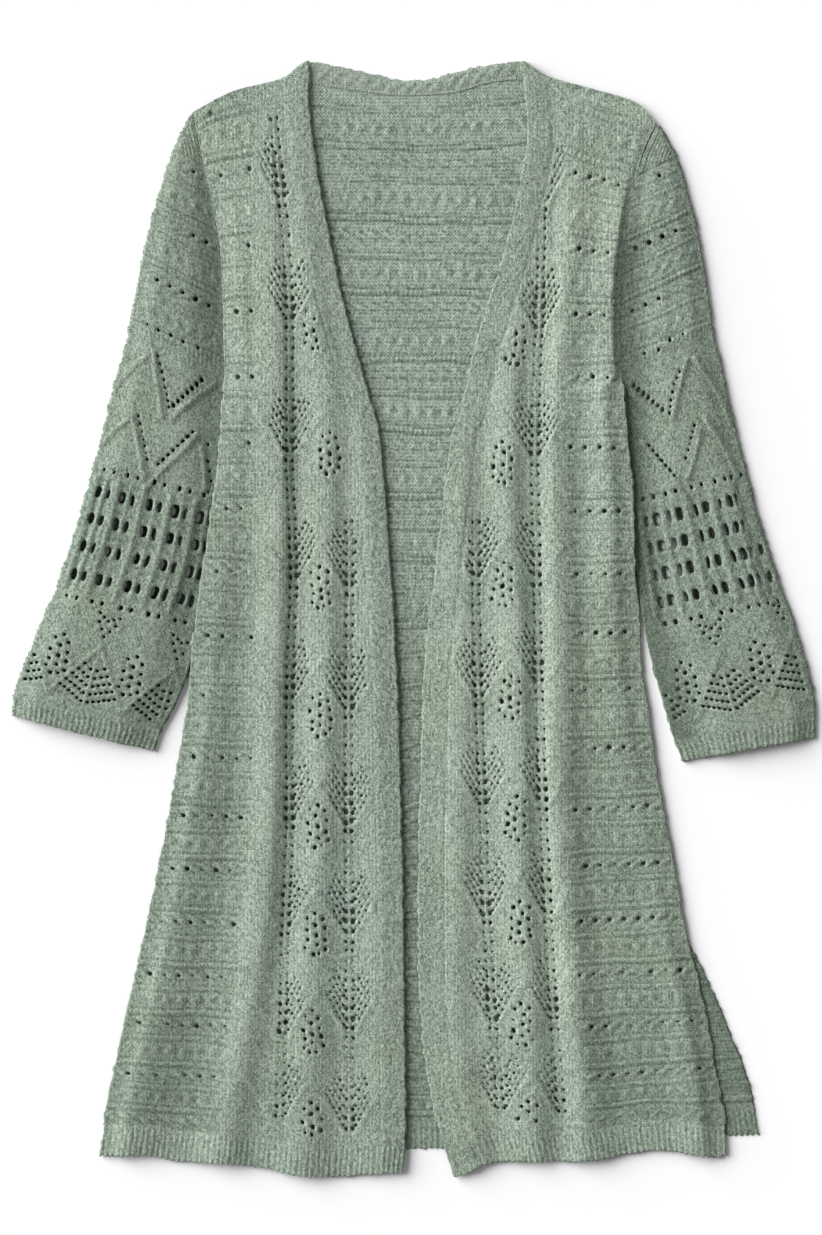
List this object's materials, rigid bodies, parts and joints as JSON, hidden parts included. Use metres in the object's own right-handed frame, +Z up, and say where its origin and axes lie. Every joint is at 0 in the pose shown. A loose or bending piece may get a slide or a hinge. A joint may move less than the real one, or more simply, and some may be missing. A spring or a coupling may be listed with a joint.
{
  "type": "pointelle cardigan",
  "caption": "Open-front sage green pointelle knit duster cardigan laid flat face up, with flared three-quarter sleeves, lace columns, lattice sleeve bands, ribbed hems and plain front bands",
  "frame": {"origin": "the middle of the garment's outline, on the surface it lies on", "axes": "X across the garment towards the wearer's left sleeve, Y up the garment towards the neck, Z up off the surface"},
  "size_m": [0.6966, 0.9642, 0.0132],
  "materials": {
    "knit_front": "soft heather rib-and-lace knit",
    "knit_band": "soft moss-stitch knit",
    "knit_sleeve": "soft heather pointelle knit",
    "knit_back": "soft heather purl side"
  },
  "bodies": {
    "root": {"back_panel": "knit_back", "back_neck_band": "knit_band", "right_front": "knit_front", "right_front_band": "knit_band", "left_front": "knit_front", "left_front_band": "knit_band", "right_sleeve_top": "knit_sleeve", "right_sleeve_under": "knit_back", "left_sleeve_top": "knit_sleeve", "left_sleeve_under": "knit_back"}
  },
  "joints": []
}
